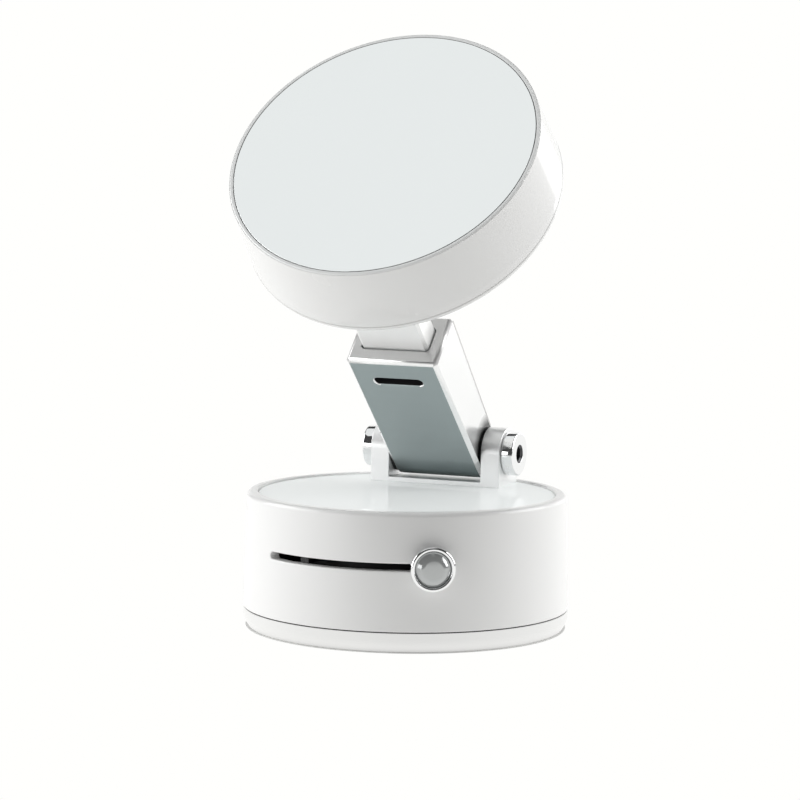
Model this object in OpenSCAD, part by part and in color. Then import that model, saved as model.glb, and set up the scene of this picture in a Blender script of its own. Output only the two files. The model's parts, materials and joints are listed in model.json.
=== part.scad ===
/* [Base] */
// Radius of the base where the shell meets the suction pad
base_r = 33; // [32.8:0.1:34]
// Radius of the shell just under its rounded top edge
base_top_r = 32.3; // [32.2:0.1:32.8]
// Height of the shell's rim above the surface that the pad sits on
base_h = 27.5; // [27.4:0.1:28.5]
// Height of the soft suction pad's side
pad_h = 4.2; // [4.1:0.1:4.8]
// Radius of the rounding along the shell's top outer edge
rim_round = 1; // [0.5:0.1:1.2]
// Radius of the glossy plate let into the top of the shell
top_plate_r = 29.97; // [29:0.01:30]

/* [Knob and slot] */
// Height of the slot's centre line
slot_z = 16.85; // [16.8:0.05:17]
// Height of the slot itself
slot_h = 1.5; // [1.4:0.1:1.8]
// Angle of the knob from the front, towards the right, in the released position
knob_az = 31; // [28:1:34]
// Angle of the slot's left-hand end from the front
slot_left = 33; // [30:1:35]
// Radius of the knob's chrome ring
knob_r = 4.4; // [4:0.1:4.6]
// Height by which the full turn of the knob lifts the plunger
lift = 2.9; // [2.6:0.1:3]

/* [Yoke and pivot] */
// Distance of the pivot axis behind the base's centre
pivot_y = 19.92; // [19.5:0.01:20.5]
// Height of the pivot axis above the surface
pivot_z = 33.86; // [33.8:0.01:34.5]
// Distance from the middle to an ear's inner face
ear_in = 10.2; // [10.2:0.05:10.3]
// Distance from the middle to an ear's outer face
ear_out = 14.25; // [14:0.05:14.5]
// Radius of an ear's round top
ear_r = 5.25; // [5:0.05:5.5]
// Radius of the pivot bolt's shank
bolt_r = 2.5; // [2.4:0.1:2.5]
// Radius of the bolt's round head
cap_r = 4.5; // [4:0.1:4.6]

/* [Arm] */
// Lean of the arm from upright, towards the front
arm_lean = 45.4; // [35:0.1:50]
// Distance from the pivot to the sleeve's open end
sleeve_len = 35.7; // [34:0.1:36]
// Width of the sleeve
sleeve_w = 19.7; // [19.5:0.1:19.7]
// Thickness of the sleeve at its open end
sleeve_t = 12.8; // [12:0.1:12.8]
// Thickness of the sleeve at the pivot
knuckle_t = 10.7; // [9.6:0.1:10.8]
// Width of the inner bar
bar_w = 14.3; // [14:0.1:14.6]
// Thickness of the inner bar
bar_t = 5.8; // [5.6:0.1:6]
// Distance from the pivot to the head's hinge pin
pin_s = 45.7; // [45.5:0.1:46.5]

/* [Head] */
// Tilt of the head past the line of the arm
head_tilt = 1.3; // [0:0.1:3]
// Distance from the hinge pin's axis to the head's back
standoff = 6.3; // [6.3:0.1:7]
// Distance from the hinge pin to the middle of the head
head_off = 20.76; // [20:0.01:21.5]
// Thickness of the head from its face to its back
head_t = 16.1; // [16:0.1:17]
// Radius of the mirror
mirror_r = 30.8; // [30.5:0.1:31]
// Radius of the bezel around the mirror
bezel_r = 31.7; // [31.6:0.1:31.8]
// Radius of the head's back edge
head_r = 32.7; // [32.5:0.1:33]

/* [Hidden] */

$fn = 96;
small = 40;                       // facets of a small round feature
eps = 0.5;                        // how far a cut runs past the face that it opens
fit = 0.02;                       // radial clearance of a fixed fit
run = 0.05;                       // radial clearance of a running fit

// colours
white_gloss = [0.94, 0.94, 0.93];
satin_silver = [0.66, 0.7, 0.71];
steel = [0.72, 0.73, 0.75];
chrome = [0.86, 0.87, 0.88];
dark = [0.12, 0.12, 0.13];

// base
shell_in_r = 30.6;                // inner face of the shell's wall
deck_z = 23.5;                    // underside of the shell's deck
deck_top = 25.5;                  // top of the deck, under the glossy plate
plate_top = base_h - 0.35;        // the glossy plate lies a little below the rim
plate_gap = 0.15;
chassis_t = 2;
chassis_r = shell_in_r - 0.15;
pad_cavity_r = 24;                // the pad is thin inside this radius
pad_skin = 1.8;
boss_at = 28.2;                   // screw bosses stand on this circle
boss_r = 2.6;
boss_az = [65, 135, 225, 295];    // away from the sweep of the knob's arm
boss_top = 15.7;
screw_r = 1.2;
screw_head_r = 2.1;

// cam ring and plunger
cam_z = pad_h + chassis_t + 0.3;
cam_in = 8;
cam_out = 24.6;
cam_floor = 2.2;
cam_wall = 2;
cam_top = 18;
ramp_in = 8.3;
ramp_out = 13;
pin_z = 12.4;                     // cross pin's height with the plunger down
roller_r = 2;
roller_x = 10.5;
roller_w = 2;
roller_gap = 0.4;
stem_play = 3.4;                  // angle between the stem's middle and a slot end, at a stop
sweep = slot_left + knob_az - stem_play;
ramp_tilt = atan(lift / 2 / (roller_x * sin(sweep / 2)));
ramp_mid_z = pin_z - roller_r - roller_gap + lift / 2;
post_r = 3;
post_flat = 5;                    // across the flats that stop the post turning
post_top = 20;
flange_r = 7;
flange_t = 1.2;
pin_r = 1.2;
seat_z = pin_z + pin_r + 0.3;
seat_t = 0.8;
seat_r = 7;
retainer_z = cam_top + 0.3;
retainer_t = 1.5;
retainer_head = 0.55;             // height of the retainer's low screw heads
spring_r = 5.5;
spring_wire = 0.45;
spring_turns = 5;

// knob
arm_block_z = 13.2;
arm_block_h = 4.8;
index_az = -20.7;                 // lug that shows through the slot while the base is released
index_span = 4;
index_r = 30.3;
index_h = slot_h - 0.1;           // passes under the retainer's low screw heads
stem_t = 1.2;
stem_w = 3;
stem_in = 24.8;
stem_boss_r = 2.4;
knob_back = base_r;               // clear of the shell all the way round the knob
knob_front = knob_back + 2.5;
knob_floor = knob_back + 1.8;

// pivot
web_t = 1;
cap_face = 16.8;
hex_key = 3;
bush_r = 3.3;

// arm
bore_w = bar_w + 0.24;
bore_t = bar_t + 0.24;
bore_from = 8.5;
bar_from = 11.5;
edge = 1;
window_w = 10.8;
window_h = 2;
window_s = sleeve_len - 6.8;
prong_gap = 3.2;
lug_w = 2.9;
lug_r = 2.6;
hinge_r = 1.25;

// head, along its own axis from the mirror's face at 0 to the back at -head_t
back = -head_t;
cover_r = 30.4;
cover_t = 2;
glass_t = 1.8;
carrier_top = -2.6;
carrier_bottom = -7.4;
magnet_in = 23;
magnet_out = 27.6;
magnet_t = 2.2;
magnets = 18;
post_at = 24.5;
post_az = [45, 135, 225, 315];
lug_screw_x = 6;

// Points on an arc, from angle a to angle b
function arc(x, y, r, a, b, n = 8) =
    [for (i = [0 : n]) [x + r * cos(a + (b - a) * i / n), y + r * sin(a + (b - a) * i / n)]];

// Places children on a circle around Z, the angle counted from the front towards +X
module around(angles, r) {
    for (a = angles) rotate([0, 0, a]) translate([0, -r, 0]) children();
}

// Turns children so that their Z axis points outwards at an angle from the front
module facing(az) {
    rotate([0, 0, az]) rotate([90, 0, 0]) children();
}

// Moves children to the arm's frame: Z along the arm, X along the pivot
module at_arm() {
    translate([0, pivot_y, pivot_z]) rotate([arm_lean, 0, 0]) children();
}

// Moves children to the head's frame: the mirror's centre, Z out of the mirror
module at_head() {
    at_arm() translate([0, 0, pin_s]) rotate([head_tilt, 0, 0])
        translate([0, head_off, standoff + head_t]) children();
}

// Moves children to the head's hinge pin, turned as the head is
module at_lug() {
    at_arm() translate([0, 0, pin_s]) rotate([head_tilt, 0, 0]) children();
}

// A cylinder along X from x0 to x1
module bar_x(x0, x1, r, n = small) {
    translate([x0, 0, 0]) rotate([0, 90, 0]) cylinder(r = r, h = x1 - x0, $fn = n);
}

// A pan-head screw: its head below z = 0, its shank above
module screw(length, head = 1) {
    translate([0, 0, -head]) cylinder(r = screw_head_r, h = head, $fn = small);
    cylinder(r = screw_r, h = length, $fn = small);
}

// ---- base, fixed ----

module suction_pad() {
    foot = 1.2;
    color([0.93, 0.93, 0.92]) rotate_extrude() polygon(concat(
        [[0, 0]], arc(base_r - foot, foot, foot, -90, -10), [[base_r, pad_h]],
        [[pad_cavity_r, pad_h], [pad_cavity_r - 1, pad_skin], [0, pad_skin]]));
}

module chassis_plate() {
    color(dark) difference() {
        translate([0, 0, pad_h]) cylinder(r = chassis_r, h = chassis_t);
        translate([0, 0, pad_h - eps]) cylinder(r = cam_in, h = chassis_t + 2 * eps);
        around(boss_az, boss_at) {
            translate([0, 0, pad_h - eps]) cylinder(r = screw_r + 0.1, h = 4, $fn = small);
            translate([0, 0, pad_h - eps]) cylinder(r = screw_head_r + 0.15, h = 1.1 + eps, $fn = small);
        }
    }
}

module base_screws() {
    color(steel) around(boss_az, boss_at) translate([0, 0, pad_h + 1.1]) screw(8.5);
}

module base_shell() {
    color(white_gloss) difference() {
        union() {
            rotate_extrude() polygon(concat(
                [[base_r, pad_h]],
                arc(base_top_r - rim_round, base_h - rim_round, rim_round, 0, 90),
                [[top_plate_r + plate_gap, base_h], [top_plate_r + plate_gap, deck_top],
                 [0, deck_top], [0, deck_z], [shell_in_r, deck_z], [shell_in_r, pad_h]]));
            around(boss_az, boss_at) {
                translate([0, 0, pad_h + chassis_t])
                    cylinder(r = boss_r, h = boss_top - pad_h - chassis_t, $fn = small);
                translate([0, 0, retainer_z + retainer_t])
                    cylinder(r = boss_r, h = deck_z - retainer_z - retainer_t + eps, $fn = small);
            }
        }
        around(boss_az, boss_at) {
            translate([0, 0, pad_h]) cylinder(r = screw_r + fit, h = 9.8, $fn = small);
            translate([0, 0, retainer_z]) cylinder(r = screw_r + fit, h = 5.5, $fn = small);
        }
        translate([0, 0, deck_z - eps]) cylinder(r = 4.3 + fit, h = 3, $fn = small);
        yoke_holes() cylinder(r = screw_r + 0.1, h = 8, $fn = small);
        slot_cut();
    }
}

// The slot through the front wall, its ends rounded
module slot_cut() {
    end = 1.4;                    // angle from the middle of a round end to its tip
    right = knob_az + stem_play;
    rotate([0, 0, -90 - slot_left + end]) rotate_extrude(angle = slot_left + right - 2 * end)
        translate([shell_in_r - 2, slot_z - slot_h / 2]) square([6, slot_h]);
    for (az = [end - slot_left, right - end])
        translate([0, 0, slot_z]) facing(az)
            translate([0, 0, shell_in_r - 2]) cylinder(r = slot_h / 2 + fit, h = 6, $fn = small);
}

// Places children at the four screws that hold the yoke, starting under the deck
module yoke_holes() {
    for (x = [-1, 1], y = [-1, 1])
        translate([x * (ear_in + ear_out) / 2, pivot_y + y * 2.7, deck_z - 0.1]) children();
}

module top_plate() {
    color([0.9, 0.92, 0.92]) difference() {
        translate([0, 0, deck_top]) cylinder(r = top_plate_r, h = plate_top - deck_top);
        yoke_holes() cylinder(r = screw_r + 0.1, h = 8, $fn = small);
    }
}

module cam_retainer() {
    color(dark) difference() {
        translate([0, 0, retainer_z]) cylinder(r = shell_in_r - 0.2, h = retainer_t);
        translate([0, 0, retainer_z - eps]) cylinder(r = 21, h = retainer_t + 2 * eps);
        around(boss_az, boss_at)
            translate([0, 0, retainer_z - eps]) cylinder(r = screw_r + 0.1, h = 4, $fn = small);
    }
}

module retainer_screws() {
    color(steel) around(boss_az, boss_at) translate([0, 0, retainer_z]) screw(5, retainer_head);
}

// The plunger's cross-section: round with two flats
module post_section(gap) {
    intersection() {
        circle(r = post_r + gap, $fn = small);
        square([post_flat + 2 * gap, 2 * post_r + 2], center = true);
    }
}

module guide_bush() {
    color([0.75, 0.6, 0.35]) difference() {
        union() {
            translate([0, 0, 18.6]) cylinder(r = 4.3, h = deck_top - 18.6, $fn = small);
            translate([0, 0, deck_z - 0.8]) cylinder(r = 7, h = 0.8, $fn = small);
        }
        translate([0, 0, 18]) linear_extrude(deck_top - 18 + eps) post_section(run);
    }
}

module yoke() {
    color(white_gloss) difference() {
        union() {
            translate([-ear_out, pivot_y - ear_r, plate_top])
                cube([2 * ear_out, 2 * ear_r, web_t]);
            for (x = [-ear_out, ear_in]) {
                translate([x, pivot_y - ear_r, plate_top])
                    cube([ear_out - ear_in, 2 * ear_r, pivot_z - plate_top]);
                translate([0, pivot_y, pivot_z]) bar_x(x, x + ear_out - ear_in, ear_r, 96);
            }
        }
        translate([0, pivot_y, pivot_z]) bar_x(-ear_out - eps, ear_out + eps, bolt_r + fit);
        yoke_holes() cylinder(r = screw_r + fit, h = 6.9, $fn = small);
    }
}

module yoke_screws() {
    color(steel) yoke_holes() translate([0, 0, 0.1]) screw(6.5);
}

module pivot_bolt() {
    color(chrome) translate([0, pivot_y, pivot_z]) difference() {
        union() {
            bar_x(-15.2, ear_out + 0.2, bolt_r);
            translate([ear_out + 0.05, 0, 0]) rotate([0, 90, 0]) rotate_extrude() polygon(concat(
                [[0, 0], [cap_r, 0]],
                arc(cap_r - 0.7, cap_face - ear_out - 0.75, 0.7, 0, 90),
                [[0, cap_face - ear_out - 0.05]]));
        }
        translate([cap_face - 1.9, 0, 0]) rotate([0, 90, 0])
            cylinder(r = hex_key / 2 / cos(30), h = 3, $fn = 6);
    }
}

module pivot_nut() {
    color(chrome) translate([0, pivot_y, pivot_z]) difference() {
        translate([-ear_out - 0.05, 0, 0]) rotate([0, -90, 0]) rotate_extrude() polygon(concat(
            [[0, 0], [cap_r - 0.2, 0]],
            arc(cap_r - 0.9, 1.75, 0.7, 0, 90), [[0, 2.45]]));
        bar_x(-15.35, -ear_out + eps, bolt_r + fit);
    }
}

module friction_washers() {
    color(steel) translate([0, pivot_y, pivot_z]) for (x = [-ear_in + 0.04, ear_in - 0.3])
        difference() {
            bar_x(x, x + 0.26, 4.4);
            bar_x(x - eps, x + 1, bolt_r + run);
        }
}

// ---- plunger, lifted by the cam ring ----

module plunger_post() {
    color(steel) difference() {
        union() {
            translate([0, 0, pad_skin]) cylinder(r = flange_r, h = flange_t);
            translate([0, 0, pad_skin]) cylinder(r = post_r, h = seat_z - pad_skin, $fn = small);
            translate([0, 0, pad_skin]) linear_extrude(post_top - pad_skin) post_section(0);
        }
        translate([0, 0, pin_z]) bar_x(-post_r - 1, post_r + 1, pin_r + fit);
    }
}

module cross_pin() {
    color(steel) translate([0, 0, pin_z]) bar_x(-12.3, 12.3, pin_r);
}

module cam_rollers() {
    color([0.3, 0.3, 0.32]) translate([0, 0, pin_z]) for (x = [-roller_x, roller_x])
        difference() {
            bar_x(x - roller_w / 2, x + roller_w / 2, roller_r);
            bar_x(x - roller_w, x + roller_w, pin_r + run);
        }
}

module spring_seat() {
    color(steel) translate([0, 0, seat_z]) difference() {
        cylinder(r = seat_r, h = seat_t, $fn = small);
        translate([0, 0, -eps]) linear_extrude(seat_t + 2 * eps) post_section(fit);
    }
}

// A point on the spring's wire: turn t of the coil, angle a around the wire
function coil_point(t, a, low, high) = let (
    flat = min(1, max(0, (t - 1) / (spring_turns - 2))),
    r = spring_r + spring_wire * cos(a))
    [r * cos(360 * t), r * sin(360 * t), low + (high - low) * flat + spring_wire * sin(a)
        + 2 * spring_wire * (min(t, 1) + max(0, t - spring_turns + 1))];

module return_spring() {
    sides = 8;
    steps = 14 * spring_turns;
    low = seat_z + seat_t + spring_wire + 0.05;
    high = deck_z - 0.8 - 5 * spring_wire - 0.05;
    rings = [for (i = [0 : steps], j = [0 : sides - 1])
        coil_point(i * spring_turns / steps, j * 360 / sides, low, high)];
    walls = [for (i = [0 : steps - 1], j = [0 : sides - 1]) let (k = (j + 1) % sides)
        [i * sides + j, i * sides + k, (i + 1) * sides + k, (i + 1) * sides + j]];
    ends = [[for (j = [sides - 1 : -1 : 0]) j], [for (j = [0 : sides - 1]) steps * sides + j]];
    color(steel) polyhedron(rings, concat(walls, ends), convexity = 6);
}

// ---- cam ring and knob, turning about the base's axis ----

module cam_ring() {
    color(dark) difference() {
        union() {
            difference() {
                translate([0, 0, cam_z]) cylinder(r = cam_out, h = cam_top - cam_z);
                translate([0, 0, cam_z + cam_floor])
                    cylinder(r = cam_out - cam_wall, h = cam_top);
            }
            for (a = [0, 180]) rotate([0, 0, a]) ramp();
            rotate([0, 0, knob_az - 96]) rotate_extrude(angle = 12)
                translate([cam_out - 1, arm_block_z]) square([5.6, arm_block_h]);
            rotate([0, 0, index_az - 90]) rotate_extrude(angle = index_span)
                translate([cam_out - 1, slot_z - slot_h / 2])
                    square([index_r - cam_out + 1, index_h]);
        }
        translate([0, 0, cam_z - eps]) cylinder(r = cam_in, h = 3);
        translate([0, 0, slot_z]) facing(knob_az) translate([0, 0, stem_in + 5])
            cube([stem_w + 0.1, stem_t + 0.1, 10], center = true);
        around([knob_az], stem_in + 2) cylinder(r = 1 + fit, h = cam_top + 1, $fn = small);
    }
}

// A ramp that rises under one roller while the ring turns
module ramp() {
    intersection() {
        rotate([0, 0, -14]) rotate_extrude(angle = sweep + 28)
            translate([ramp_in, cam_z + 1]) square([ramp_out - ramp_in, 8]);
        rotate([0, 0, sweep / 2]) translate([0, 0, ramp_mid_z]) rotate([ramp_tilt, 0, 0])
            translate([-20, -20, -10]) cube([40, 40, 10]);
    }
}

module knob_stem() {
    color(steel) difference() {
        translate([0, 0, slot_z]) facing(knob_az) {
            translate([-stem_w / 2, -stem_t / 2, stem_in]) cube([stem_w, stem_t, knob_back + 0.6 - stem_in]);
            translate([0, 0, knob_back + 0.1]) cylinder(r = stem_boss_r, h = 1.5, $fn = small);
        }
        around([knob_az], stem_in + 2) cylinder(r = 1 + fit, h = cam_top + 1, $fn = small);
    }
}

module stem_screw() {
    color(steel) around([knob_az], stem_in + 2)
        translate([0, 0, arm_block_z]) cylinder(r = 1, h = arm_block_h, $fn = small);
}

module knob_ring() {
    color(chrome) translate([0, 0, slot_z]) facing(knob_az) rotate_extrude() polygon(concat(
        [[stem_boss_r + fit, knob_back], [knob_r - 0.3, knob_back], [knob_r, knob_back + 0.3]],
        arc(knob_r - 0.5, knob_front - 0.5, 0.5, 0, 90, 6),
        [[3.7, knob_front], [3.55, knob_floor], [stem_boss_r + fit, knob_floor]]));
}

module knob_cap() {
    color([0.68, 0.7, 0.7]) translate([0, 0, slot_z]) facing(knob_az) rotate_extrude()
        polygon(concat([[0, knob_floor], [3.5, knob_floor], [3.5, knob_front - 0.3]],
            arc(2.7, knob_front - 0.3, 0.8, 0, 90, 6), [[0, knob_front + 0.5]]));
}

// ---- arm, leaning on the pivot ----

// The sleeve's side outline: a round knuckle that widens to the open end
module sleeve_side() {
    k = knuckle_t / 2;
    circle(r = k, $fn = 96);
    polygon([[-k, 0], [k, 0], [sleeve_t / 2, sleeve_len], [-sleeve_t / 2, sleeve_len]]);
}

module arm_sleeve() {
    taper = atan((sleeve_t - knuckle_t) / 2 / sleeve_len);
    color(satin_silver) at_arm() difference() {
        translate([-sleeve_w / 2, 0, 0]) rotate([90, 0, 90]) linear_extrude(sleeve_w) sleeve_side();
        for (x = [-1, 1], y = [-1, 1])
            translate([x * sleeve_w / 2, y * sleeve_t / 2, sleeve_len])
                rotate([y * taper, 0, 0]) rotate([0, 0, 45])
                cube([edge, edge, 2 * sleeve_len - 8], center = true);
        translate([-bore_w / 2, -bore_t / 2, bore_from]) cube([bore_w, bore_t, sleeve_len]);
        translate([-5.2, 0, bore_from + 4]) cube([10.4, bore_t / 2 + 0.9, 18]);
        bar_x(-sleeve_w, sleeve_w, bush_r + fit);
        translate([0, 0, window_s]) rotate([90, 0, 0]) {
            translate([0, 0, 1]) linear_extrude(sleeve_t)
                square([window_w - window_h, window_h], center = true);
            for (x = [-1, 1]) translate([x * (window_w - window_h) / 2, 0, 1])
                cylinder(r = window_h / 2, h = sleeve_t, $fn = small);
        }
    }
}

module pivot_bushes() {
    color(dark) at_arm() for (s = [-1, 1]) difference() {
        bar_x(min(s, 0) * sleeve_w / 2 + max(s, 0) * 2, min(s, 0) * 2 + max(s, 0) * sleeve_w / 2, bush_r);
        bar_x(-sleeve_w, sleeve_w, bolt_r + run);
    }
}

module friction_leaf() {
    color(steel) at_arm() translate([-5, bore_t / 2 + 0.4, bore_from + 4.2]) cube([10, 0.45, 17.5]);
}

// ---- inner bar, sliding in the sleeve ----

module inner_bar() {
    color([0.9, 0.91, 0.91]) at_arm() difference() {
        union() {
            translate([-bar_w / 2, -bar_t / 2, bar_from]) cube([bar_w, bar_t, pin_s - bar_from]);
            translate([0, 0, pin_s]) bar_x(-bar_w / 2, bar_w / 2, bar_t / 2, 96);
        }
        translate([-prong_gap, -bar_t, pin_s - lug_r - 0.25]) cube([2 * prong_gap, 2 * bar_t, 20]);
        translate([0, 0, pin_s]) bar_x(-bar_w, bar_w, hinge_r + fit);
        for (x = [-1, 1]) translate([x * (bar_w / 2 - 0.9) - 1, -bar_t, bar_from + 1.5])
            cube([2, 2 * bar_t, 5]);
    }
}

module bar_glides() {
    color([0.25, 0.25, 0.27]) at_arm() for (x = [-1, 1])
        translate([x * (bar_w / 2 - 0.87) - 0.93, -bar_t / 2, bar_from + 1.55])
            cube([1.86, bar_t, 4.9]);
}

module hinge_pin() {
    color(steel) at_arm() translate([0, 0, pin_s]) bar_x(-bar_w / 2 + 0.1, bar_w / 2 - 0.1, hinge_r);
}

module hinge_washers() {
    color(steel) at_arm() translate([0, 0, pin_s]) for (x = [-prong_gap + 0.03, lug_w + 0.06])
        difference() {
            bar_x(x, x + 0.2, 2.3);
            bar_x(x - eps, x + 1, hinge_r + run);
        }
}

// ---- head, tilting on the bar ----

module hinge_lug() {
    color(steel) at_lug() difference() {
        union() {
            bar_x(-lug_w, lug_w, lug_r, 96);
            translate([-lug_w, -lug_r, 0]) cube([2 * lug_w, 2 * lug_r, standoff + 0.5]);
            translate([-9, -4.5, standoff]) cube([18, 9, 1.9]);
        }
        bar_x(-lug_w - 1, lug_w + 1, hinge_r + run);
        for (x = [-1, 1]) translate([x * lug_screw_x, 0, standoff - eps])
            cylinder(r = screw_r + fit, h = 4, $fn = small);
    }
}

module lug_screws() {
    color(steel) at_lug() for (x = [-1, 1])
        translate([x * lug_screw_x, 0, standoff + cover_t + 1.2]) rotate([180, 0, 0])
            screw(cover_t + 1.1, 0.9);
}

module back_cover() {
    color(white_gloss) at_head() difference() {
        union() {
            translate([0, 0, back]) cylinder(r = cover_r, h = cover_t);
            translate([-12, -head_off - 6, back]) cube([24, 12, cover_t + 1.2]);
        }
        translate([-9.05, -head_off - 4.55, back - eps]) cube([18.1, 9.1, 1.95 + eps]);
        for (x = [-1, 1]) translate([x * lug_screw_x, -head_off, back - 1])
            cylinder(r = screw_r + 0.1, h = 9, $fn = small);
        around(post_az, post_at) {
            translate([0, 0, back - 1]) cylinder(r = screw_r + 0.1, h = 5, $fn = small);
            translate([0, 0, back - 1]) cylinder(r = screw_head_r + 0.15, h = 1.9, $fn = small);
        }
    }
}

module head_casing() {
    round_r = 1.1;
    color(white_gloss) at_head() rotate_extrude() polygon(concat(
        arc(head_r - round_r, back + round_r, round_r, -90, 0),
        [[bezel_r + 0.25, -0.35], [bezel_r + 0.02, -0.2], [bezel_r + 0.02, -2.1], [bezel_r - 0.6, -2.1],
         [bezel_r - 0.6, back + cover_t + 0.2], [cover_r - 1.4, back + cover_t + 0.2],
         [cover_r - 1.4, back + cover_t + 0.01], [cover_r + 0.05, back + cover_t + 0.01],
         [cover_r + 0.05, back]]));
}

module bezel_ring() {
    color([0.78, 0.79, 0.8]) at_head() rotate_extrude() polygon([
        [mirror_r + 0.15, -2.05], [bezel_r, -2.05], [bezel_r, -0.25], [bezel_r - 0.25, 0],
        [mirror_r + 0.25, 0], [mirror_r + 0.15, -0.1]]);
}

module mirror_glass() {
    color([0.9, 0.92, 0.92]) at_head() translate([0, 0, -glass_t]) cylinder(r = mirror_r, h = glass_t);
}

module glass_pad() {
    color([0.2, 0.2, 0.22]) at_head() translate([0, 0, carrier_top])
        cylinder(r = mirror_r - 1.3, h = -glass_t - carrier_top);
}

module magnet_carrier() {
    color([0.85, 0.85, 0.84]) at_head() difference() {
        union() {
            translate([0, 0, carrier_bottom]) cylinder(r = bezel_r - 0.8, h = carrier_top - carrier_bottom);
            around(post_az, post_at) translate([0, 0, back + cover_t])
                cylinder(r = 2.6, h = carrier_bottom - back - cover_t + eps, $fn = small);
        }
        translate([0, 0, carrier_top - magnet_t - 0.7]) difference() {
            cylinder(r = magnet_out + 0.4, h = 6);
            translate([0, 0, -eps]) cylinder(r = magnet_in - 0.6, h = 8);
        }
        translate([0, 0, carrier_bottom - eps]) cylinder(r = 19, h = 2.6);
        around(post_az, post_at)
            translate([0, 0, back + cover_t - eps]) cylinder(r = screw_r + fit, h = 6.5, $fn = small);
    }
}

module ring_magnets() {
    pitch = 360 / magnets;
    color([0.55, 0.56, 0.58]) at_head() for (i = [0 : magnets - 1])
        rotate([0, 0, i * pitch]) rotate_extrude(angle = pitch - 1.2)
            translate([magnet_in, carrier_top - magnet_t]) square([magnet_out - magnet_in, magnet_t - 0.02]);
}

module shunt_ring() {
    color(steel) at_head() translate([0, 0, carrier_top - magnet_t - 0.65]) difference() {
        cylinder(r = magnet_out + 0.3, h = 0.6);
        translate([0, 0, -eps]) cylinder(r = magnet_in - 0.5, h = 2);
    }
}

module cover_screws() {
    color(steel) at_head() around(post_az, post_at) translate([0, 0, back + 0.9]) screw(6, 0.85);
}

suction_pad();
chassis_plate();
base_screws();
base_shell();
top_plate();
cam_retainer();
retainer_screws();
guide_bush();
yoke();
yoke_screws();
pivot_bolt();
pivot_nut();
friction_washers();
plunger_post();
cross_pin();
cam_rollers();
spring_seat();
return_spring();
cam_ring();
knob_stem();
stem_screw();
knob_ring();
knob_cap();
arm_sleeve();
pivot_bushes();
friction_leaf();
inner_bar();
bar_glides();
hinge_pin();
hinge_washers();
hinge_lug();
lug_screws();
back_cover();
head_casing();
bezel_ring();
mirror_glass();
glass_pad();
magnet_carrier();
ring_magnets();
shunt_ring();
cover_screws();
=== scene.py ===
"""The looks of a folding vacuum-base mirror stand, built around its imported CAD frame."""
import json
import math

import bmesh
import bpy
from mathutils import Matrix, Vector


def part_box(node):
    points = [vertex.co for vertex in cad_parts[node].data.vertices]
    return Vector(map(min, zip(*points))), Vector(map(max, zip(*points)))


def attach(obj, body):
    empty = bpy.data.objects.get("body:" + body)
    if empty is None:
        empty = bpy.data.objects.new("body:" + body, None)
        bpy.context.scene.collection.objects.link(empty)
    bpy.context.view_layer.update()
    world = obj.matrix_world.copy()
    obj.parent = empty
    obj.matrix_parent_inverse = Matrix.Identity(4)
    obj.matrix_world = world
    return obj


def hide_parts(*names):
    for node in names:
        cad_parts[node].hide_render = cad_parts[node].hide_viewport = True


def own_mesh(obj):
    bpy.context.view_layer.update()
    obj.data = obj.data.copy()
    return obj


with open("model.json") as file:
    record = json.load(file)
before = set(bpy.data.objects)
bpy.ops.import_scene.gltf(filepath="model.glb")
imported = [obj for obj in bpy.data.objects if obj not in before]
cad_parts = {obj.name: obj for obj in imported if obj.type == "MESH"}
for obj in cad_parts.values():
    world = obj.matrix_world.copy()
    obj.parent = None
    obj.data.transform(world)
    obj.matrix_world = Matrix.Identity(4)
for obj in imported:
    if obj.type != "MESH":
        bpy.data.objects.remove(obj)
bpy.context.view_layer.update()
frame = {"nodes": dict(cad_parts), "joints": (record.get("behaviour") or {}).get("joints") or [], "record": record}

MM = 0.001
NODES = frame["nodes"]
JOINTS = {j["name"]: j for j in frame["joints"]}
MOUNTS = {m["name"]: m for m in frame["record"]["mounts"]}


# ---- sizes in millimetres, read from the frame ----

def low(node):
    """A CAD node's lowest corner."""
    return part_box(node)[0] / MM


def high(node):
    """A CAD node's highest corner."""
    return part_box(node)[1] / MM


def width(node, axis=0):
    """A CAD node's size along an axis."""
    return high(node)[axis] - low(node)[axis]


BASE_R = width("suction_pad") / 2
PAD_H = high("suction_pad").z
SHELL_TOP = high("base_shell").z
SHELL_TOP_R = BASE_R - 0.7
SHELL_INNER_R = 30.6
SHELL_FOOT = PAD_H + 0.04
SEAM_LOW = PAD_H - 0.21
DECK_T = 2
PLATE_R = width("top_plate") / 2
PLATE_GAP = 0.15
PLATE_TOP = high("top_plate").z
DECK_TOP = low("top_plate").z
KNOB_MID = (low("knob_cap") + high("knob_cap")) / 2
KNOB_AZ = math.atan2(KNOB_MID.x, -KNOB_MID.y)
KNOB_R = width("knob_ring", 2) / 2
SLOT_Z = KNOB_MID.z
SLOT_H = 1.5
SLOT_SOFT = 0.22
PIVOT = Vector(JOINTS["arm_hinge"]["pos_m"]) / MM
ARM_AXIS = Vector(JOINTS["bar_slide"]["axis"])
HINGE_PIN = Vector(JOINTS["head_hinge"]["pos_m"]) / MM
FACE = Vector(MOUNTS["mirror_face"]["pos_m"]) / MM
FACE_AXIS = Vector(MOUNTS["mirror_face"]["axis"])
EAR_OUT = width("yoke") / 2
EAR_IN = EAR_OUT - 4.05
BOLT_R = 2.5
CAP_R, NUT_R = 4.5, 4.3
SOCKET_HALF = 1.38
SHIM_R = 4.9
EAR_R = width("yoke", 1) / 2
SLEEVE_W = width("arm_sleeve")
SLEEVE_LEN = 35.7
SLEEVE_T = 12.8
KNUCKLE_T = 10.7
BAR_W = width("inner_bar")
BAR_T = 5.8
PIN_S = (HINGE_PIN - PIVOT).length
PIN_HOLE_R = 1.27
CUT = 0.8
HOLLOW_W, HOLLOW_T, HOLLOW_FROM = 14.76, 6.26, 8.5
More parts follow.
